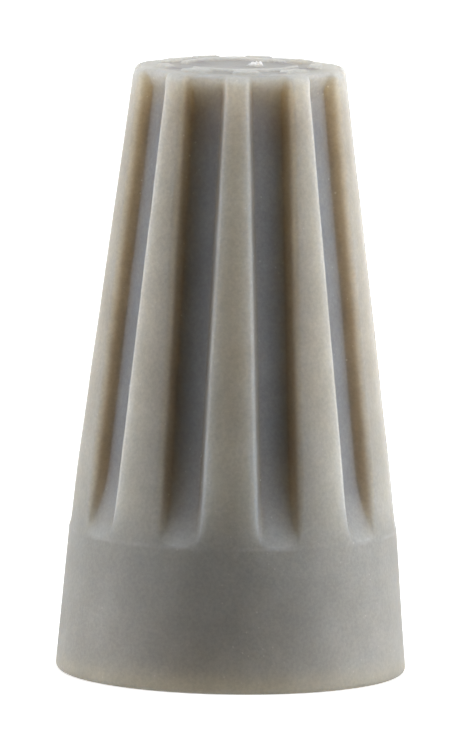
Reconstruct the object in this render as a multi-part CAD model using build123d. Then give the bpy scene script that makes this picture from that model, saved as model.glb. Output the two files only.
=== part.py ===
from build123d import *
import math
import os

# Twist wire connector: a moulded cap with grip ribs, and the conical square-wire
# spring that it holds. Millimetres, +Z up. The origin is the centre of the open rim,
# so the part stands on its skirt and the closed end is at the top.

# The cap, outside
height = 14.9  # rim to the flat end face
base_diameter = 8.62  # across the skirt at the rim
skirt_height = 4.8  # rim to where the steeper, ribbed cone begins
skirt_taper = 4.7  # degrees from the axis
rib_taper = 7.17  # degrees from the axis
rim_round = 0.12
end_round = 0.22  # edge of the closed end

# Grooves between the grip ribs
rib_count = 10
front_rib_angle = -91.2  # degrees from +X, where the first rib stands
groove_width = 1.12  # across its mouth, the same all the way up
groove_depth = 0.42
groove_draft = 19.6  # degrees, each flank
groove_root_round = 0.12
runout_height = 0.48  # above the skirt, where a groove's floor starts to curve out
runout_radius = 4.6

# The cap, inside
skirt_wall = 1.0  # at the rim
mouth_chamfer = 0.22
skirt_bore_depth = 3.4
funnel_length = 1.05
pocket_wall = 0.6  # between the spring's pocket and the grooves' floors
pocket_corner_round = 0.5
end_wall = 1.6
lip_height = 0.15
lip_overhang = 0.08  # how far the lip stands in under the spring

# Raised marks on the end face: a broken ring, two arrows for the tightening turn, and
# the stub where the moulding gate was broken off
mark_height = 0.07
mark_sink = 0.3  # how far the marks reach down into the end wall, to be one with it
ring_edge_gap = 0.2  # from the ring to the grooves' floors
ring_width = 0.3
dash_count = 9
dash_span = 20.0  # degrees
first_dash_angle = 65.5
arrow_count = 2
arrow_gap = 0.12  # from the ring to the arrowheads
arrow_width = 0.16
arrow_span = 105.0  # degrees, without the head
arrow_head_width = 0.42
arrow_head_span = 26.0
first_arrow_angle = 62.0
gate_offset = 0.38  # along +X
gate_diameter = 0.42
gate_tip_diameter = 0.26
gate_height = 0.13

# The grip spring
wire_side = 0.52  # square wire, wound with a corner towards the axis
turn_gap = 0.045  # between one turn's corner and the next
spring_clearance = 0.02  # all round, in its pocket
spring_top_gap = 0.85  # above the spring, for the ends of the wires

# Worked out from the sizes above
base_radius = base_diameter / 2
skirt_slope = math.tan(math.radians(skirt_taper))
rib_slope = math.tan(math.radians(rib_taper))
flank_slope = math.tan(math.radians(groove_draft))
skirt_top_radius = base_radius - skirt_height * skirt_slope
end_radius = skirt_top_radius - (height - skirt_height) * rib_slope
bore_radius = base_radius - skirt_wall
pocket_bottom = skirt_bore_depth + funnel_length + lip_height
pocket_top = height - end_wall
runout_start = skirt_height + runout_height
wire_diagonal = wire_side * math.sqrt(2)


def rib_radius(z):
    # the cone of the rib crests, which the grooves and the pocket run parallel to
    return end_radius + (height - z) * rib_slope


def floor_radius(z):
    return rib_radius(z) - groove_depth


def pocket_radius(z):
    return floor_radius(z) - pocket_wall


def cap_blank():
    # the cap before its grooves are cut: one profile, turned about the axis
    lip_radius = pocket_radius(pocket_bottom) - lip_overhang
    pocket_corner = (pocket_radius(pocket_top), pocket_top)
    outline = make_face(
        Polyline(
            (bore_radius + mouth_chamfer, 0),
            (base_radius, 0),
            (skirt_top_radius, skirt_height),
            (end_radius, height),
            (0, height),
            (0, pocket_top),
            pocket_corner,
            (pocket_radius(pocket_bottom), pocket_bottom),
            (lip_radius, pocket_bottom),
            (lip_radius, pocket_bottom - lip_height),
            (bore_radius, skirt_bore_depth),
            (bore_radius, mouth_chamfer),
            close=True,
        )
    )
    corner_rounds = [
        ((base_radius, 0), rim_round),
        ((end_radius, height), end_round),
        (pocket_corner, pocket_corner_round),
    ]
    for (x, y), radius in corner_rounds:
        corner = outline.vertices().sort_by_distance((x, y, 0))[0]
        outline = fillet(corner, radius)
    return revolve(Plane.XZ * outline, Axis.Z)


def groove_side():
    # a groove from the side: its straight floor, then the arc that runs out of the skirt
    above, beyond, swept = height + 1, base_radius + 3, 50
    start = Vector(floor_radius(runout_start), runout_start)
    tilt = math.radians(rib_taper)
    centre = start + Vector(math.cos(tilt), math.sin(tilt)) * runout_radius
    arc = CenterArc(centre, runout_radius, 180 + rib_taper, swept)
    floor = Line((floor_radius(above), above), start)
    end = arc @ 1
    back = Polyline(end, (beyond, end.Y), (beyond, above), floor @ 0)
    side = make_face([floor, arc, *back.edges()])
    return extrude(Plane.XZ * side, groove_width, both=True)


def groove_cutter():
    # the space between two drafted flanks, ended below and inside by the side outline
    def half_width(depth):
        return groove_width / 2 - depth * flank_slope

    foot = runout_start - 2 * runout_radius
    deep, proud = 2 * groove_depth, -2  # the section passes the floor and stands out of the cap
    inner, outer = rib_radius(foot) - deep, rib_radius(foot) - proud
    section = make_face(
        Polyline(
            (inner, -half_width(deep)),
            (inner, half_width(deep)),
            (outer, half_width(proud)),
            (outer, -half_width(proud)),
            close=True,
        )
    )
    length = height + 0.5 - foot
    wedge = extrude(Pos(0, 0, foot) * section, amount=length, dir=(-rib_slope, 0, 1))
    cutter = wedge & groove_side()
    return fillet([edge for edge in cutter.edges() if is_groove_root(edge)], groove_root_round)


def is_groove_root(edge):
    # the cutter's two long edges: beside the straight floor, and along the run-out
    middle = edge @ 0.5
    along_floor = abs(middle.X - floor_radius(middle.Z)) < 0.01 and abs(middle.Y) > 0.01
    return edge.geom_type == GeomType.ELLIPSE or (along_floor and middle.Z > runout_start)


def ring_bar(radius, width, start, span):
    # a bar bent round the axis; angles in degrees
    inner = CenterArc((0, 0), radius - width / 2, start, span)
    outer = CenterArc((0, 0), radius + width / 2, start, span)
    return make_face([inner, outer, Line(inner @ 0, outer @ 0), Line(inner @ 1, outer @ 1)])


def polar(radius, angle):
    return (radius * math.cos(math.radians(angle)), radius * math.sin(math.radians(angle)))


def end_marks():
    ring_radius = end_radius - groove_depth - ring_edge_gap - ring_width / 2
    arrow_radius = ring_radius - ring_width / 2 - arrow_gap - arrow_head_width / 2
    marks = Sketch()
    for i in range(dash_count):
        angle = first_dash_angle + i * 360 / dash_count
        marks += ring_bar(ring_radius, ring_width, angle, dash_span)
    for i in range(arrow_count):
        neck = first_arrow_angle + i * 360 / arrow_count
        marks += ring_bar(arrow_radius, arrow_width, neck, arrow_span)
        marks += make_face(
            Polyline(
                polar(arrow_radius + arrow_head_width / 2, neck),
                polar(arrow_radius - arrow_head_width / 2, neck),
                polar(arrow_radius, neck - arrow_head_span),
                close=True,
            )
        )
    raised = extrude(Pos(0, 0, height - mark_sink) * marks, mark_sink + mark_height)
    gate_length = gate_height + mark_sink
    gate = Cone(gate_diameter / 2, gate_tip_diameter / 2, gate_length)
    return [*raised.solids(), Pos(gate_offset, 0, height - mark_sink + gate_length / 2) * gate]


def cap_shell():
    cutter = groove_cutter()
    pitch = 360 / rib_count
    angles = [front_rib_angle + pitch * (i + 0.5) for i in range(rib_count)]
    return cap_blank() - [Rot(0, 0, angle) * cutter for angle in angles] + end_marks()


def grip_spring():
    # a right-hand conical coil, which draws itself onto the wires as the cap is turned clockwise
    half = wire_diagonal / 2
    start_height = pocket_bottom + spring_clearance + half
    coil_height = pocket_top - spring_top_gap - half - start_height
    coil = Helix(
        pitch=wire_diagonal + turn_gap,
        height=coil_height,
        radius=pocket_radius(start_height) - spring_clearance - half,
        center=(0, 0, start_height),
        cone_angle=-rib_taper,
    )
    across = Plane(origin=coil @ 0, z_dir=coil % 0, x_dir=(1, 0, 0))
    wire = across * Rectangle(wire_side, wire_side, rotation=45)
    return sweep(wire, path=coil, is_frenet=True)


def write_parts():
    os.makedirs("parts", exist_ok=True)
    export_step(cap_shell(), "parts/cap_shell.step")
    export_step(grip_spring(), "parts/grip_spring.step")


write_parts()
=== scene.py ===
import math
import bpy
import numpy as np
from mathutils import Matrix, Vector, noise


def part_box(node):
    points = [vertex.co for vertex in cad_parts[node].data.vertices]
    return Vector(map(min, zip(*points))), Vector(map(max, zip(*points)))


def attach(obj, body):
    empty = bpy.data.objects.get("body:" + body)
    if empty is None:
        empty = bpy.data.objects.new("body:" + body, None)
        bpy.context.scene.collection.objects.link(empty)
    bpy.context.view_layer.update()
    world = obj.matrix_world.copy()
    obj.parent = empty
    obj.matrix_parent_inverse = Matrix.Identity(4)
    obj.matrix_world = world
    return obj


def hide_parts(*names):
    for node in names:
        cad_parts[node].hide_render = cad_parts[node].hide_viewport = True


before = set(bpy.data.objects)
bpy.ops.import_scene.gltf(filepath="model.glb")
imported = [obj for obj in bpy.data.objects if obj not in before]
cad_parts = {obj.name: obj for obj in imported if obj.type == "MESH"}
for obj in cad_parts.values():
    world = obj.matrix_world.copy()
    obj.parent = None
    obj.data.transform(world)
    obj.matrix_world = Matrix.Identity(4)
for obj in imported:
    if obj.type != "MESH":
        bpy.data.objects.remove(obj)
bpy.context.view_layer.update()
mm = 0.001
print("frame loaded:", sorted(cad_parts))


# Camera

view = {
    "distance": 289 * mm,
    "elevation": 7.3,  # degrees above the middle of the connector
    "roll": 0.87,  # degrees, which makes the upright connector lean a little to the right
    "lens": 564.5,
    "sensor": 36,  # along the frame's long side
    "nearest": 5 * mm,  # what the camera clips
    "furthest": 10.0,
    "right": -0.12 * mm,  # where the camera aims, from the connector's middle
    "up": -0.244 * mm,
}


def addCamera():
    low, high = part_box("cap_shell")
    middle = Vector((0, 0, (low.z + high.z) / 2))
    tilt = math.radians(view["elevation"])
    backward = Vector((0, -math.cos(tilt), math.sin(tilt)))
    sideways = Vector((1, 0, 0))
    upward = backward.cross(sideways)
    turned = Matrix((sideways, upward, backward)).transposed()
    turned = turned @ Matrix.Rotation(math.radians(view["roll"]), 3, "Z")
    target = middle + sideways * view["right"] + upward * view["up"]
    data = bpy.data.cameras.new("camera")
    data.lens = view["lens"]
    data.sensor_width = view["sensor"]
    data.clip_start = view["nearest"]
    data.clip_end = view["furthest"]
    camera = bpy.data.objects.new("camera", data)
    camera.matrix_world = Matrix.Translation(target + backward * view["distance"]) @ turned.to_4x4()
    bpy.context.scene.collection.objects.link(camera)
    bpy.context.scene.camera = camera


# Node building: shader maths is written as plain arithmetic on these

class Wire:
    # one output socket; each operation on it adds a Math node
    def __init__(self, sheet, socket):
        self.sheet = sheet
        self.socket = socket

    def math(self, operation, first, second=0.0, clamped=False):
        settings = {"operation": operation, "use_clamp": clamped}
        return self.sheet.node("ShaderNodeMath", settings, {0: first, 1: second})

    def __add__(self, other):
        return self.math("ADD", self, other)

    def __radd__(self, other):
        return self.math("ADD", other, self)

    def __sub__(self, other):
        return self.math("SUBTRACT", self, other)

    def __rsub__(self, other):
        return self.math("SUBTRACT", other, self)

    def __mul__(self, other):
        return self.math("MULTIPLY", self, other)

    def __rmul__(self, other):
        return self.math("MULTIPLY", other, self)

    def __truediv__(self, other):
        return self.math("DIVIDE", self, other)

    def __rtruediv__(self, other):
        return self.math("DIVIDE", other, self)

    def held(self):
        # kept between 0 and 1
        return self.math("ADD", self, 0.0, clamped=True)

    def eased(self, low, high):
        # 0 below low, 1 above high, with a soft step between
        share = ((self - low) / (high - low)).held()
        return share * share * (3 - 2 * share)


class Sheet:
    # the node tree of one material, or of the world
    def __init__(self, owner):
        owner.use_nodes = True
        self.tree = owner.node_tree
        self.tree.nodes.clear()

    def node(self, kind, settings=None, sockets=None, output=0):
        made = self.tree.nodes.new(kind)
        for name, value in (settings or {}).items():
            if name == "stops":
                ramp = made.color_ramp
                while len(ramp.elements) < len(value):
                    ramp.elements.new(0.5)
                for element, (place, colour) in zip(ramp.elements, value):
                    element.position = place
                    element.color = colour
            else:
                setattr(made, name, value)
        for name, value in (sockets or {}).items():
            if isinstance(value, Wire):
                self.tree.links.new(value.socket, made.inputs[name])
            else:
                made.inputs[name].default_value = value
        return Wire(self, made.outputs[output]) if len(made.outputs) else made

    def blend(self, share, first, second, mode="MIX"):
        # two colours mixed by a share from 0 to 1
        settings = {"data_type": "RGBA", "blend_type": mode}
        return self.node("ShaderNodeMix", settings, {0: share, 6: first, 7: second}, output=2)

    def tint(self, share, colour, tint):
        return self.blend(share, colour, tint, "MULTIPLY")

    def attribute(self, name):
        return self.node("ShaderNodeAttribute", {"attribute_name": name}, output=2)

    def place(self):
        # object coordinates, in millimetres
        metres = self.node("ShaderNodeTexCoord", output=3)
        return self.node("ShaderNodeVectorMath", {"operation": "SCALE"}, {0: metres, 3: 1 / mm})

    def noise(self, vector, scale, detail=2.0, rough=0.5):
        sockets = {"Vector": vector, "Scale": scale, "Detail": detail, "Roughness": rough}
        return self.node("ShaderNodeTexNoise", {}, sockets)


# Small helpers for shapes

def softLeast(first, second, softness):
    # the lesser of two values, rounded off where they cross
    share = np.clip(0.5 + 0.5 * (second - first) / softness, 0, 1)
    return second + (first - second) * share - softness * share * (1 - share)


def softMost(first, second, softness):
    return -softLeast(-first, -second, softness)


def smooth(value, low, high):
    # 0 below low, 1 above high, with a soft step between
    share = np.clip((value - low) / (high - low), 0, 1)
    return share * share * (3 - 2 * share)


def ringMesh(name, rows, closedEnds):
    # joins rings of equal size into one skin; closedEnds are the points that close its two ends
    count = len(rows[0][0])
    points = np.concatenate([np.stack(row[:3], axis=1) for row in rows])
    faces = []
    for i in range(len(rows) - 1):
        for j in range(count):
            k = (j + 1) % count
            faces.append((i * count + j, (i + 1) * count + j, (i + 1) * count + k, i * count + k))
    last = (len(rows) - 1) * count
    points = np.concatenate([points, closedEnds])
    first = len(points) - 2
    for j in range(count):
        k = (j + 1) % count
        faces.append((first, j, k))
        faces.append((first + 1, last + k, last + j))
    mesh = bpy.data.meshes.new(name)
    mesh.from_pydata((points * mm).tolist(), [], faces)
    mesh.update()
    mesh.shade_smooth()
    return mesh


def addMask(mesh, name, values):
    layer = mesh.attributes.new(name, "FLOAT", "POINT")
    layer.data.foreach_set("value", np.asarray(values, dtype=np.float32))


# Cap: sizes in millimetres, as in the CAD model where it has them

cap = {
    "skirtHeight": 4.8,
    "skirtTaper": 4.7,  # degrees
    "ribTaper": 7.17,
    "kinkSoftness": 0.035,  # where the two cones meet
    "rimRound": 0.12,
    "rimTrim": 0.01,  # what the rim's rounding takes off its radius
    "endRound": 0.22,
    "grooveEndRound": 0.12,
    "grooveEndRise": 0.24,  # the grooves grow shallower just below the end face
    "grooveEndLength": 0.6,
    "ribCount": 10,
    "frontRibAngle": -91.2,
    "grooveWidth": 1.12,
    "grooveDepth": 0.42,
    "grooveDraft": 19.6,
    "rootSoftness": 0.28,
    "crestSoftness": 0.3,
    "crestSoftShare": 0.9,  # where a groove is shallow, its edges are rounded by this share of its depth
    "crestCrown": 0.015,  # how far a rib's rounded top falls away towards its sides
    "floorDish": 0.03,  # how much a groove's floor rises towards its sides
    "ledgeHeight": 3.5,  # where the grooves have run out, and a faint bead goes round
    "ledgeBead": 0.004,
    "ledgeBeadWidth": 0.08,
    "ledgeSoftness": 0.03,
    "runoutHeight": 0.48,
    "runoutRadius": 4.6,
    "skirtWall": 1.0,
    "mouthChamfer": 0.22,
    "boreDepth": 3.4,
    "funnelLength": 1.05,
    "lipHeight": 0.15,
    "lipOverhang": 0.08,
    "pocketWall": 0.6,
    "pocketCornerRound": 0.5,
    "endWall": 1.6,
    "unevenness": 0.012,  # how far the moulded surface wanders
    "unevenSize": 1.1,
    "unevenStretch": 0.6,  # under 1, its swells are longer along the axis
    "unevenFrom": 0.3,  # it starts above the rim, and is full a little higher
    "unevenFull": 1.0,
    # how fine the mesh is
    "floorColumns": 4,  # from a groove's middle to its flank
    "flankColumns": 15,
    "crestColumns": 5,  # from the flank to a rib's middle
    "belowFlank": 0.1,  # the flank's close columns reach this far past its foot
    "pastFlank": 0.16,  # and this far past its top
    "leastFloor": 0.05,
    "leastCrest": 0.02,
    "closedEndRings": (0.05, 0.5, 0.95),
    "cornerRows": 6,
    "pocketCornerTurn": 83,  # degrees, to where the corner meets the tapered wall
    "belowCorner": 0.3,
    "pocketRows": 9,
    "funnelRows": 5,
    "funnelEnds": (0.03, 0.97),  # shares of its length
    "boreLevels": (2.2, 1.0),
    "edgeRows": 8,
    "faceShares": (0.2, 0.45, 0.72),  # of the way from the rounded edge to the marks
    "faceRows": 64,
    "axisGap": 0.03,
    "edge": 0.02,  # the small softening of the inner corners
    # where its painted light, painted shade and worn spots start and are full, by a point's rise: 0 on a
    # groove's floor, 1 on a crest
    "crestFade": (0.35, 0.9),
    "floorFade": (0.02, 0.2),
    "flankFootFade": (0.0, 0.12),
    "flankTopFade": (0.45, 0.9),
    "runoutFade": (0.1, 0.7),
    "colourMargin": 0.1,  # how far below the ledge the ribs' colours begin
    "crestStart": 1.1,  # above the ledge, where a crest's colour is full
    "crestEnd": 0.35,  # below the end face, where it starts to go
    "runoutTop": 5.4,
}

maskNames = ("crest", "flank", "grooveFloor", "runout", "sunk", "torn")  # what the colour follows

marks = {
    "height": 0.07,
    "softEdge": 0.03,
    "innerSoftShare": 0.3,  # of softEdge: how far a mark's sloping edge reaches inside its outline
    "ringEdgeGap": 0.2,
    "ringWidth": 0.3,
    "dashCount": 9,
    "dashSpan": 20.0,
    "firstDash": 65.5,
    "arrowCount": 2,
    "arrowGap": 0.12,
    "arrowWidth": 0.16,
    "arrowSpan": 105.0,
    "headWidth": 0.42,
    "headSpan": 26.0,
    "firstArrow": 62.0,
    "faceMargin": 0.05,  # how far outside the ring its fine mesh starts
    "hollowReach": 0.24,  # how far from a mark the shade of the hollow beside it goes
    "hollowLeast": 0.4,  # its share far from any mark
    "hollowFade": (0.1, 0.8),  # in shares of the marks' height
    "gateOffset": 0.38,
    "gateRadius": 0.2,
    "gateHeight": 0.13,
    "gateEdge": (0.02, 0.05),  # outside and inside its radius
    "tearScale": 11,
    "tearSeed": 3.1,
    "tearMean": 0.6,
    "tearRoughness": 0.9,
    "tearSlope": (0.7, -1.2),  # the stub broke off lower on one side
    "tearLeast": 0.12,
    "tornFade": (0.3, 0.75),  # in shares of the stub's height
}

capLow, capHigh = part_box("cap_shell")
endHeight = capHigh.z / mm - marks["gateHeight"]
skirtSlope = math.tan(math.radians(cap["skirtTaper"]))
ribSlope = math.tan(math.radians(cap["ribTaper"]))
flankSlope = math.tan(math.radians(cap["grooveDraft"]))
rimRadius = (capHigh.x - capLow.x) / mm / 2 + cap["rimTrim"]
skirtTopRadius = rimRadius - cap["skirtHeight"] * skirtSlope
endRadius = skirtTopRadius - (endHeight - cap["skirtHeight"]) * ribSlope
ringOuterRadius = endRadius - cap["grooveDepth"] - marks["ringEdgeGap"]


def ribRadius(z):
    return endRadius + (endHeight - z) * ribSlope


def pocketRadius(z):
    return ribRadius(z) - cap["grooveDepth"] - cap["pocketWall"]


def outerRadius(z):
    # skirt below, ribbed cone above, softened where they meet
    return softLeast(rimRadius - z * skirtSlope, ribRadius(z), cap["kinkSoftness"])


def floorPlace(z):
    # how far a groove's floor stands from the axis: the run-out's arc, then straight, then a short rise
    start = cap["skirtHeight"] + cap["runoutHeight"]
    if z >= start:
        rise = cap["grooveEndRise"] * smooth(z, endHeight - cap["grooveEndLength"], endHeight) ** 2
        return ribRadius(z) - cap["grooveDepth"] + rise
    tilt = math.radians(cap["ribTaper"])
    radius = cap["runoutRadius"]
    centreOut = ribRadius(start) - cap["grooveDepth"] + radius * math.cos(tilt)
    centreUp = start + radius * math.sin(tilt)
    drop = min(centreUp - z, radius)
    return centreOut - math.sqrt(radius * radius - drop * drop)


def columnPlaces(floorAcross, crestAcross, ribMiddle):
    # where the columns stand, from a groove's middle line to the ribs' middles on both sides
    foot = max(floorAcross - cap["belowFlank"], cap["leastFloor"])
    top = min(crestAcross + cap["pastFlank"], ribMiddle - cap["leastCrest"])
    bends = [0, foot, top, ribMiddle]
    counts = [cap["floorColumns"], cap["flankColumns"], cap["crestColumns"]]
    stretches = [np.linspace(a, b, n, endpoint=False) for a, b, n in zip(bends, bends[1:], counts)]
    across = np.concatenate([*stretches, [ribMiddle]])
    return np.concatenate([-across[:0:-1], across[:-1]])


# masks for the ribs' painted light and painted shade, and for where worn spots go
def ribMasks(z, rise, depth):
    # depth is the groove's, from 0 where it has run out to 1 where it is full
    start = cap["ledgeHeight"] - cap["colourMargin"]
    ribbed = smooth(z, start, cap["ledgeHeight"] + cap["crestStart"])
    ribbed = ribbed * smooth(endHeight - z, 0, cap["crestEnd"])
    crest = smooth(rise, *cap["crestFade"]) * ribbed
    flank = smooth(rise, *cap["flankFootFade"]) * (1 - smooth(rise, *cap["flankTopFade"])) * depth
    floor = (1 - smooth(rise, *cap["floorFade"])) * depth
    runout = (depth > 0) * (1 - depth) * (1 - smooth(rise, *cap["runoutFade"]))
    runout = runout * (z > start) * (z < cap["runoutTop"])
    none = np.zeros_like(rise)
    return [np.tile(mask, cap["ribCount"]) for mask in (crest, flank, floor, runout, none, none)]


def capSlice(z, crestInset=0.0, grooveInset=0.0):
    # one level of the outside: x, y and the colour masks, for every column round the cap
    half = math.pi / cap["ribCount"]
    radius = outerRadius(z) - crestInset
    reference = ribRadius(z)
    floor = floorPlace(z) - grooveInset
    mouth = cap["grooveWidth"] / 2 + grooveInset / math.cos(math.radians(cap["grooveDraft"]))
    crestAcross = mouth - (reference - math.sqrt(radius * radius - mouth * mouth)) * flankSlope
    floorAcross = mouth - (reference - min(floor, radius)) * flankSlope
    ribMiddle = radius * math.sin(half)
    across = columnPlaces(floorAcross, crestAcross, ribMiddle)
    side = np.abs(across)

    # the crowned crest, the flanks and the dished floor, joined with soft corners
    aside = np.clip((ribMiddle - side) / (ribMiddle - crestAcross), 0, 1)
    shallow = np.clip((radius - floor) / cap["grooveDepth"], 0, 1)
    circle = np.sqrt(radius * radius - side * side) - cap["crestCrown"] * shallow * aside ** 3
    flank = reference - (mouth - side) / flankSlope
    dished = floor + cap["floorDish"] * (side / floorAcross) ** 2
    groove = softMost(dished, flank, cap["rootSoftness"])
    local = circle - floor
    softness = np.clip(local * cap["crestSoftShare"], cap["ledgeSoftness"], cap["crestSoftness"])
    out = softLeast(circle, groove, softness)

    depth = np.clip(local / cap["grooveDepth"], 0, 1)
    rise = np.clip(1 - (circle - out) / np.maximum(local, 0.01), 0, 1)
    fromLedge = (z - cap["ledgeHeight"]) / cap["ledgeBeadWidth"]
    out = out + cap["ledgeBead"] * math.exp(-fromLedge ** 2)
    turns = [math.radians(cap["frontRibAngle"]) + half * (2 * k + 1) for k in range(cap["ribCount"])]
    x = np.concatenate([out * math.cos(turn) - across * math.sin(turn) for turn in turns])
    y = np.concatenate([out * math.sin(turn) + across * math.cos(turn) for turn in turns])
    return x, y, ribMasks(z, rise, depth)


def uneven(x, y, z):
    # moulding is never quite even: the surface stands a little in or out, though not at the rim
    places = [Vector((a, b, z * cap["unevenStretch"])) / cap["unevenSize"] for a, b in zip(x, y)]
    swell = np.array([noise.noise(place) for place in places])
    started = smooth(z, cap["unevenFrom"], cap["unevenFull"])
    grow = 1 + swell * cap["unevenness"] * started / np.hypot(x, y)
    return x * grow, y * grow


def outsideMarks(x, y):
    # how far each point is outside the nearest raised mark; below 0 inside one
    ringRadius = ringOuterRadius - marks["ringWidth"] / 2
    arrowRadius = ringRadius - marks["ringWidth"] / 2 - marks["arrowGap"] - marks["headWidth"] / 2
    out = np.hypot(x, y)
    angle = np.degrees(np.arctan2(y, x))
    nearest = np.full_like(out, 1.0)  # as far as is worth knowing

    def bar(radius, width, start, span):
        beyond = (angle - start - span / 2 + 180) % 360 - 180
        along = np.radians(np.abs(beyond) - span / 2) * out
        return np.maximum(np.abs(out - radius) - width / 2, along)

    for k in range(marks["dashCount"]):
        start = marks["firstDash"] + k * 360 / marks["dashCount"]
        dash = bar(ringRadius, marks["ringWidth"], start, marks["dashSpan"])
        nearest = np.minimum(nearest, dash)
    for k in range(marks["arrowCount"]):
        neck = marks["firstArrow"] + k * 360 / marks["arrowCount"]
        shaft = bar(arrowRadius, marks["arrowWidth"], neck, marks["arrowSpan"])
        ahead = (neck - angle + 180) % 360 - 180
        taper = marks["headWidth"] / 2 * (1 - ahead / marks["headSpan"])
        head = np.maximum(np.abs(out - arrowRadius) - taper, np.radians(-ahead) * out)
        nearest = np.minimum(np.minimum(nearest, shaft), head)
    return nearest


def gateStub(x, y):
    # height of the ragged stub where the moulding gate was broken off
    size = marks["tearScale"]
    places = [Vector((a * size, b * size, marks["tearSeed"])) for a, b in zip(x, y)]
    ragged = np.array([noise.noise(place) for place in places])
    slopeX, slopeY = marks["tearSlope"]
    tear = marks["tearMean"] + marks["tearRoughness"] * ragged
    tear = tear + slopeX * (x - marks["gateOffset"]) + slopeY * y
    inward = marks["gateRadius"] - np.hypot(x - marks["gateOffset"], y)
    outer, inner = marks["gateEdge"]
    return marks["gateHeight"] * np.clip(tear, marks["tearLeast"], 1) * smooth(inward, -outer, inner)


def endRelief(x, y):
    # height above the end face, and masks of the painted shade in the hollows between its marks and of
    # the torn stub
    outside = outsideMarks(x, y)
    soft = marks["softEdge"]
    raised = smooth(-outside, -soft, soft * marks["innerSoftShare"])
    stub = gateStub(x, y)
    torn = smooth(stub / marks["gateHeight"], *marks["tornFade"])
    beside = np.exp(-np.maximum(outside, 0) / marks["hollowReach"])
    shade = marks["hollowLeast"] + (1 - marks["hollowLeast"]) * beside
    sunk = (1 - smooth(raised, *marks["hollowFade"])) * shade * (1 - torn)
    return np.maximum(marks["height"] * raised, stub), sunk, torn


def insideProfile():
    # radius and height of each ring, from the pocket's closed end down, and out round the rim
    top = endHeight - cap["endWall"]
    bottom = cap["boreDepth"] + cap["funnelLength"] + cap["lipHeight"]
    funnelTop = bottom - cap["lipHeight"]
    lip = pocketRadius(bottom) - cap["lipOverhang"]
    bore = rimRadius - cap["skirtWall"]
    corner = cap["pocketCornerRound"]
    chamfer = cap["mouthChamfer"]
    edge = cap["edge"]
    profile = [(radius, top) for radius in cap["closedEndRings"]]
    for turn in np.radians(np.linspace(0, cap["pocketCornerTurn"], cap["cornerRows"])):
        radius = pocketRadius(top) - corner + corner * math.sin(turn)
        profile.append((radius, top - corner + corner * math.cos(turn)))
    highest = top - corner - cap["belowCorner"]
    for z in np.linspace(highest, bottom + 1.5 * edge, cap["pocketRows"]):
        profile.append((pocketRadius(z), z))
    profile += [
        (pocketRadius(bottom) - 0.5 * edge, bottom + 0.15 * edge),
        (lip + edge, bottom),
        (lip, bottom - edge),
        (lip, funnelTop + edge),
    ]
    for share in np.linspace(*cap["funnelEnds"], cap["funnelRows"]):
        profile.append((lip + (bore - lip) * share, funnelTop - cap["funnelLength"] * share))
    for z in (cap["boreDepth"] - 2.5 * edge, *cap["boreLevels"], chamfer + 2 * edge):
        profile.append((bore, z))
    profile += [
        (bore + edge, chamfer - edge),
        (bore + chamfer - 1.5 * edge, edge),
        (bore + chamfer + 1.5 * edge, 0.0),
        (rimRadius - cap["rimRound"] - 3 * edge, 0.0),
    ]
    for turn in np.radians(np.linspace(0, 90, cap["cornerRows"])):
        inset = cap["rimRound"] * (1 - math.sin(turn))
        profile.append((outerRadius(cap["rimRound"]) - inset, cap["rimRound"] * (1 - math.cos(turn))))
    return profile


def outsideRows():
    # up the skirt and the ribs, and over the rounded edge of the closed end
    ledge = cap["ledgeHeight"]
    spans = [
        (0.3, ledge - 0.15, 9),
        (ledge - 0.1, ledge + 0.14, 11),  # close together across the bead
        (ledge + 0.2, 5.7, 28),  # the run-outs
        (5.95, endHeight - 0.45, 26),
    ]
    levels = [*np.concatenate([np.linspace(*span) for span in spans]), endHeight - cap["endRound"]]
    cuts = [(z, 0.0) for z in levels]
    for step in range(1, cap["edgeRows"] + 1):
        turn = math.radians(90) * step / cap["edgeRows"]
        cuts.append((endHeight - cap["endRound"] * (1 - math.sin(turn)), 1 - math.cos(turn)))
    rows = []
    for z, fall in cuts:
        x, y, masks = capSlice(z, cap["endRound"] * fall, cap["grooveEndRound"] * fall)
        x, y = uneven(x, y, z)
        rows.append((x, y, np.full_like(x, z), masks))
    return rows


def faceRows(outermost):
    # across the end face, from the rounded edge's last row almost to the axis
    x, y, z, masks = outermost
    out, angle = np.hypot(x, y), np.arctan2(y, x)
    faceRadius = ringOuterRadius + marks["faceMargin"]
    rows = []
    for share in cap["faceShares"]:
        radius = out + (faceRadius - out) * share
        faded = [mask * (1 - share) for mask in masks]
        rows.append((radius * np.cos(angle), radius * np.sin(angle), z, faded))
    none = np.zeros_like(x)
    for radius in np.linspace(faceRadius, cap["axisGap"], cap["faceRows"]):
        x, y = radius * np.cos(angle), radius * np.sin(angle)
        relief, sunk, torn = endRelief(x, y)
        inside = smooth(faceRadius - radius, 0, 2 * marks["faceMargin"])
        rows.append((x, y, endHeight + relief, [none, none, none, none, sunk * inside, torn]))
    return rows


def buildCap():
    outside = outsideRows()
    angles = np.arctan2(outside[0][1], outside[0][0])
    plain = [np.zeros_like(angles)] * len(maskNames)
    inside = []
    for radius, z in insideProfile():
        ring = (radius * np.cos(angles), radius * np.sin(angles), np.full_like(angles, z), plain)
        inside.append(ring)
    rows = [*inside, *outside, *faceRows(outside[-1])]
    rows = rows[::-1]  # from the end face down the outside, so that the skin faces outwards
    mesh = ringMesh("capShell", rows, [(0, 0, rows[0][2][0]), (0, 0, endHeight - cap["endWall"])])
    for index, name in enumerate(maskNames):
        addMask(mesh, name, [*np.concatenate([row[3][index] for row in rows]), 0, 0])
    piece = bpy.data.objects.new("cap_body", mesh)
    bpy.context.scene.collection.objects.link(piece)
    print("cap:", len(mesh.vertices), "points,", len(angles), "columns,", len(rows), "rows")
    return piece


# Grip spring: sizes in millimetres

spring = {
    "wireSide": 0.52,
    "turnGap": 0.045,
    "cornerRound": 0.05,
    "cornerPoints": 5,
    "stepsPerTurn": 72,
    "clearance": 0.02,
}


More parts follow.
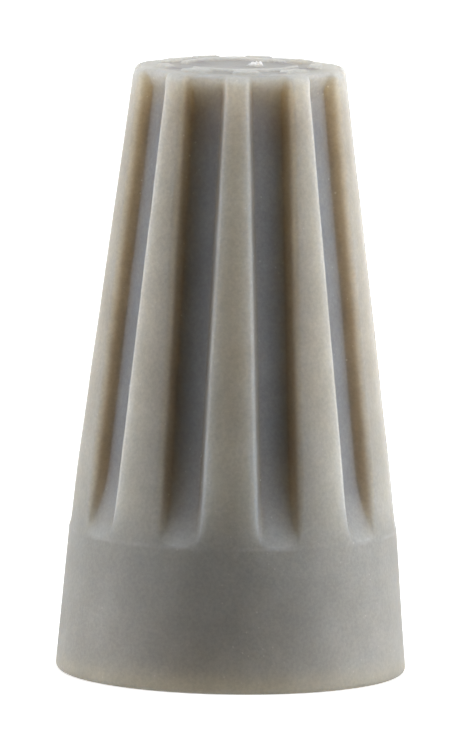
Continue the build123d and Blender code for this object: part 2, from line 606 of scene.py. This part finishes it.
def springSection():
    # the square wire's outline with its corners rounded, one corner towards the axis
    reach = (spring["wireSide"] / 2 - spring["cornerRound"]) * math.sqrt(2)
    outline = []
    for corner in range(4):
        middle = math.radians(90 + 90 * corner)
        for lean in np.linspace(-45, 45, spring["cornerPoints"]):
            turn = middle + math.radians(lean)
            across = reach * math.cos(middle) + spring["cornerRound"] * math.cos(turn)
            up = reach * math.sin(middle) + spring["cornerRound"] * math.sin(turn)
            outline.append((across, up))
    return outline


def buildSpring():
    low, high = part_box("grip_spring")
    halfDiagonal = spring["wireSide"] * math.sqrt(2) / 2
    startHeight = low.z / mm + halfDiagonal
    coilHeight = high.z / mm - halfDiagonal - startHeight
    pitch = 2 * halfDiagonal + spring["turnGap"]
    turns = coilHeight / pitch
    steps = round(turns * spring["stepsPerTurn"])
    section = springSection()
    rows = []
    for step in range(steps + 1):
        share = step / steps
        turn = 2 * math.pi * turns * share
        z = startHeight + coilHeight * share
        radius = pocketRadius(z) - spring["clearance"] - halfDiagonal
        outward = Vector((math.cos(turn), math.sin(turn), 0))
        centre = outward * radius + Vector((0, 0, z))
        forward = Vector((-math.sin(turn) * radius, math.cos(turn) * radius, pitch / (2 * math.pi)))
        upward = outward.cross(forward.normalized())
        ring = np.array([centre + outward * a + upward * b for a, b in section])
        rows.append((ring[:, 0], ring[:, 1], ring[:, 2], share * turns))
    ends = [np.mean(np.stack(row[:3], axis=1), axis=0) for row in (rows[0], rows[-1])]
    mesh = ringMesh("gripSpring", rows, ends)
    around = np.tile(np.linspace(0, 1, len(section), endpoint=False), len(rows))
    along = np.repeat([row[3] for row in rows], len(section))
    addMask(mesh, "around", [*around, 0, 0])
    addMask(mesh, "along", [*along, 0, turns])
    piece = bpy.data.objects.new("spring_wire", mesh)
    bpy.context.scene.collection.objects.link(piece)
    print("spring:", round(turns, 2), "turns,", len(mesh.vertices), "points")
    return piece


# Materials: a tint multiplies the colour below it, and a fade is where a soft step starts and ends

plasticLook = {
    "grey": (0.365, 0.365, 0.35, 1),
    "paleGrey": (0.42, 0.418, 0.40, 1),
    "mottleScale": 0.8,
    "mottleFade": (0.3, 0.7),
    "crestLightTint": (1.13, 1.12, 1.09, 1),  # painted light: rib crests are paler than the skirt
    "crestWarmLight": (1.07, 1.007, 0.955, 1),  # and painted warm light makes them warmer further up
    "warmHeight": 9.0,
    "flankTint": (0.74, 0.66, 0.58, 1),  # painted shade: the lower half of a flank is darker and browner
    # painted shade on the groove floors, a little cool
    "grooveFloorTint": (0.85, 0.85, 0.89, 1),
    "runoutTint": (1.12, 1.14, 1.16, 1),  # painted light where the grooves run out
    # painted light near the end face
    "topLightTint": (1.17, 1.18, 1.18, 1),
    "topFade": (1.2, 0.2),  # how far down from the end face it is paler with painted light, in mm
    "rimLightTint": (1.16, 1.08, 0.94, 1),  # painted warm light on the open rim, where the wall is thinner
    "rimFade": (0.05, 0.7),  # in mm up from the rim
    "sunkShadeTint": (0.64, 0.63, 0.67, 1),  # painted shade between the raised marks of the end face
    "sunkScale": 1.6,
    "sunkFade": (0.4, 0.75),
    "sunkLeast": 0.55,
    "sunkGain": 0.9,
    "grainDark": (0.91, 0.91, 0.92, 1),
    "grainLight": (1.09, 1.09, 1.08, 1),
    "grainScale": 11.0,
    "grainFade": (0.25, 0.75),
    "speckColour": (0.60, 0.59, 0.56, 1),
    "speckShare": 0.6,
    "speckScale": 4.2,
    "speckSize": (0.05, 0.14),
    "speckWhere": (0.45, 0.6),
    "nickShare": 0.15,  # pale worn spots on the crests
    "nickScale": 2.3,
    "nickFade": (0.66, 0.74),
    "tornColour": (0.90, 0.90, 0.88, 1),
    "ledgeHighlightColour": (0.62, 0.64, 0.66, 1),  # painted highlight: a faint broken line round the ledge
    "ledgeHighlightShare": 0.2,
    "ledgeHighlightScale": 0.9,
    "ledgeHighlightWander": 0.12,
    "ledgeHighlightBelow": 0.07,
    "ledgeHighlightAbove": 0.09,
    "ledgeHighlightFade": (0.42, 0.66),
    "roughness": 0.6,
    "roughGrain": 0.3,
    "roughMottle": 0.14,
    "reliefMottle": 1.5,
    "reliefSpeck": 0.5,
    "reliefStrength": 0.35,
    "reliefHeight": 0.012 * mm,
    "refraction": 1.49,
    "shine": 0.4,
    "bleed": (1.0, 0.82, 0.60),  # how far each colour of light travels inside, in shares of bleedReach
    "bleedReach": 4.2 * mm,
}


def paintPlastic():
    look = plasticLook
    material = bpy.data.materials.new("moulded grey plastic")
    sheet = Sheet(material)
    place = sheet.place()
    height = sheet.node("ShaderNodeSeparateXYZ", {}, {0: place}, output=2)
    mottle = sheet.noise(place, look["mottleScale"], detail=3.0, rough=0.6)
    grain = sheet.noise(place, look["grainScale"], detail=3.0, rough=0.7)
    cells = sheet.node("ShaderNodeTexVoronoi", {}, {"Vector": place, "Scale": look["speckScale"]})
    speck = (1 - cells.eased(*look["speckSize"])) * mottle.eased(*look["speckWhere"])
    nick = sheet.noise(place, look["nickScale"], detail=4.0, rough=0.55).eased(*look["nickFade"])

    # the grey, then painted light on the crests and run-outs and painted shade on the flanks and groove
    # floors
    base = sheet.blend(mottle.eased(*look["mottleFade"]), look["grey"], look["paleGrey"])
    crest = sheet.attribute("crest")
    # painted light on the rib crests
    base = sheet.tint(crest, base, look["crestLightTint"])
    # painted warm light, growing up the crests
    warmLight = crest * height.eased(cap["ledgeHeight"], look["warmHeight"])
    base = sheet.tint(warmLight, base, look["crestWarmLight"])
    # painted shade on the flanks and groove floors, painted light where the grooves run out
    for name in ("flank", "grooveFloor", "runout"):
        base = sheet.tint(sheet.attribute(name), base, look[name + "Tint"])

    # painted light near the end face and the rim, and painted shade in the hollows between the marks
    topFrom, topTo = look["topFade"]
    # painted light below the end face
    nearTop = height.eased(endHeight - topFrom, endHeight - topTo)
    base = sheet.tint(nearTop, base, look["topLightTint"])
    # painted warm light along the open rim
    nearRim = 1 - height.eased(*look["rimFade"])
    base = sheet.tint(nearRim, base, look["rimLightTint"])
    # painted shade in the hollows between the marks, in patches
    patchy = sheet.noise(place, look["sunkScale"]).eased(*look["sunkFade"])
    sunk = sheet.attribute("sunk") * (look["sunkLeast"] + look["sunkGain"] * patchy)
    base = sheet.tint(sunk.held(), base, look["sunkShadeTint"])

    # grain, specks, worn spots, the torn stub and the painted highlight round the ledge
    grainTint = sheet.blend(grain.eased(*look["grainFade"]), look["grainDark"], look["grainLight"])
    base = sheet.tint(1.0, base, grainTint)
    spots = speck * look["speckShare"] + nick * crest * look["nickShare"]
    base = sheet.blend(spots, base, look["speckColour"])
    base = sheet.blend(sheet.attribute("torn"), base, look["tornColour"])
    # a painted highlight along the ledge, broken by noise
    broken = sheet.noise(place, look["ledgeHighlightScale"], detail=3.0, rough=0.65)
    level = height - cap["ledgeHeight"] - (broken - 0.5) * look["ledgeHighlightWander"]
    line = level.eased(-look["ledgeHighlightBelow"], 0.0) * (1 - level.eased(0.0, look["ledgeHighlightAbove"]))
    ledgeHighlight = line * broken.eased(*look["ledgeHighlightFade"])
    base = sheet.blend(ledgeHighlight * look["ledgeHighlightShare"], base, look["ledgeHighlightColour"])

    roughness = look["roughness"] + (grain - 0.5) * look["roughGrain"]
    roughness = roughness + (mottle - 0.5) * look["roughMottle"]
    relief = grain + mottle * look["reliefMottle"] + speck * look["reliefSpeck"]
    bumpSockets = {
        "Strength": look["reliefStrength"],
        "Distance": look["reliefHeight"],
        "Height": relief,
    }
    sockets = {
        "Base Color": base,
        "Roughness": roughness,
        "Normal": sheet.node("ShaderNodeBump", {}, bumpSockets),
        "IOR": look["refraction"],
        "Specular IOR Level": look["shine"],
        "Subsurface Weight": 1.0,
        "Subsurface Radius": look["bleed"],
        "Subsurface Scale": look["bleedReach"],
    }
    surface = sheet.node("ShaderNodeBsdfPrincipled", {"subsurface_method": "RANDOM_WALK"}, sockets)
    sheet.node("ShaderNodeOutputMaterial", {}, {0: surface})
    return material


wireLook = {
    "darkZinc": (0.50, 0.51, 0.53, 1),
    "paleZinc": (0.66, 0.67, 0.68, 1),
    "cloudScale": 2.2,
    "cloudFade": (0.35, 0.7),
    "linesAround": 40,  # how fine the drawn lines are across the wire
    "linesAlong": 2,  # and how often they change in a turn
    "roughness": 0.26,
    "roughLines": 0.14,
    "roughCloud": 0.2,
    "reliefStrength": 0.3,
    "reliefHeight": 0.01 * mm,
}


def paintSteel():
    look = wireLook
    material = bpy.data.materials.new("zinc plated wire")
    sheet = Sheet(material)
    around = sheet.attribute("around") * look["linesAround"]
    along = sheet.attribute("along") * look["linesAlong"]
    lengthwise = sheet.node("ShaderNodeCombineXYZ", {}, {0: around, 1: along, 2: 0.0})
    drawn = sheet.noise(lengthwise, 1.0, rough=0.6)
    cloud = sheet.noise(sheet.place(), look["cloudScale"], detail=3.0, rough=0.6)
    dark, pale = look["cloudFade"]
    stops = [(dark, look["darkZinc"]), (pale, look["paleZinc"])]
    base = sheet.node("ShaderNodeValToRGB", {"stops": stops}, {0: cloud})
    roughness = look["roughness"] + drawn * look["roughLines"] + (cloud - 0.5) * look["roughCloud"]
    bumpSockets = {
        "Strength": look["reliefStrength"],
        "Distance": look["reliefHeight"],
        "Height": drawn,
    }
    bump = sheet.node("ShaderNodeBump", {}, bumpSockets)
    sockets = {"Base Color": base, "Metallic": 1.0, "Roughness": roughness, "Normal": bump}
    surface = sheet.node("ShaderNodeBsdfPrincipled", {}, sockets)
    sheet.node("ShaderNodeOutputMaterial", {}, {0: surface})
    return material


# Stage

stage = {
    "floorSize": 1.2,
    "floorGrey": (0.93, 0.93, 0.93, 1),
    "floorGlow": 0.55,
    "floorRoughness": 0.6,
    "floorUneven": 0.1,
    "floorScale": 0.2,
    "front": 0.0,  # the room's light from the camera's side
    "sides": 5.0,
    "turn": (-0.46, -0.26),  # where the dark front gives way to the bright sides
    "turnSkew": 0.06,  # the bright side comes further round on the right
    "rightShare": 0.05,  # how much brighter the right is than the middle
    "behind": (-0.05, 0.4),
    "behindFade": 0.85,
    "top": (0.2, 0.95),
    "topFade": 0.65,
    "below": (-0.5, 0.05),
    "belowFade": 0.85,
}


def paintStage():
    mesh = bpy.data.meshes.new("floor")
    half = stage["floorSize"] / 2
    corners = [(-half, -half, 0), (half, -half, 0), (half, half, 0), (-half, half, 0)]
    mesh.from_pydata(corners, [], [(0, 1, 2, 3)])
    floor = bpy.data.objects.new("floor", mesh)
    bpy.context.scene.collection.objects.link(floor)
    material = bpy.data.materials.new("pale floor")
    sheet = Sheet(material)
    speck = sheet.noise(sheet.place(), stage["floorScale"])
    sockets = {
        "Base Color": stage["floorGrey"],
        "Roughness": stage["floorRoughness"] + speck * stage["floorUneven"],
        "Emission Color": stage["floorGrey"],
        "Emission Strength": stage["floorGlow"],
    }
    surface = sheet.node("ShaderNodeBsdfPrincipled", {}, sockets)
    sheet.node("ShaderNodeOutputMaterial", {}, {0: surface})
    mesh.materials.append(material)
    floor.visible_diffuse = False  # it takes the connector's shadow, but throws no light back at it
    floor.visible_glossy = False


def lightRoom():
    # a white tent round the connector, open and dark on the camera's side
    world = bpy.data.worlds.new("white tent")
    bpy.context.scene.world = world
    sheet = Sheet(world)
    direction = sheet.node("ShaderNodeTexCoord", output=0)
    parts = sheet.node("ShaderNodeSeparateXYZ", {}, {0: direction})
    right, back, up = [Wire(sheet, output) for output in parts.socket.node.outputs]
    light = stage["sides"] * (1 + right * stage["rightShare"])
    light = light * (1 - stage["behindFade"] * back.eased(*stage["behind"]))
    light = light * (1 - stage["topFade"] * up.eased(*stage["top"]))
    light = light * (1 - stage["belowFade"] * (1 - up.eased(*stage["below"])))
    light = stage["front"] + light * (back + right * stage["turnSkew"]).eased(*stage["turn"])
    seen = sheet.node("ShaderNodeLightPath", output=0)
    strength = light + seen * (1.0 - light)  # what the camera sees of the room itself is plain white
    glow = sheet.node("ShaderNodeBackground", {}, {"Color": (1, 1, 1, 1), "Strength": strength})
    sheet.node("ShaderNodeOutputWorld", {}, {0: glow})


def dress(piece, material, slotName, *nodes):
    piece.data.materials.append(material)
    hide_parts(*nodes)
    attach(piece, "root")


addCamera()
lightRoom()
paintStage()
print("camera, light and floor ready")
dress(buildCap(), paintPlastic(), "cap_plastic", "cap_shell")
dress(buildSpring(), paintSteel(), "spring_steel", "grip_spring")
bpy.context.scene.view_settings.view_transform = "Standard"
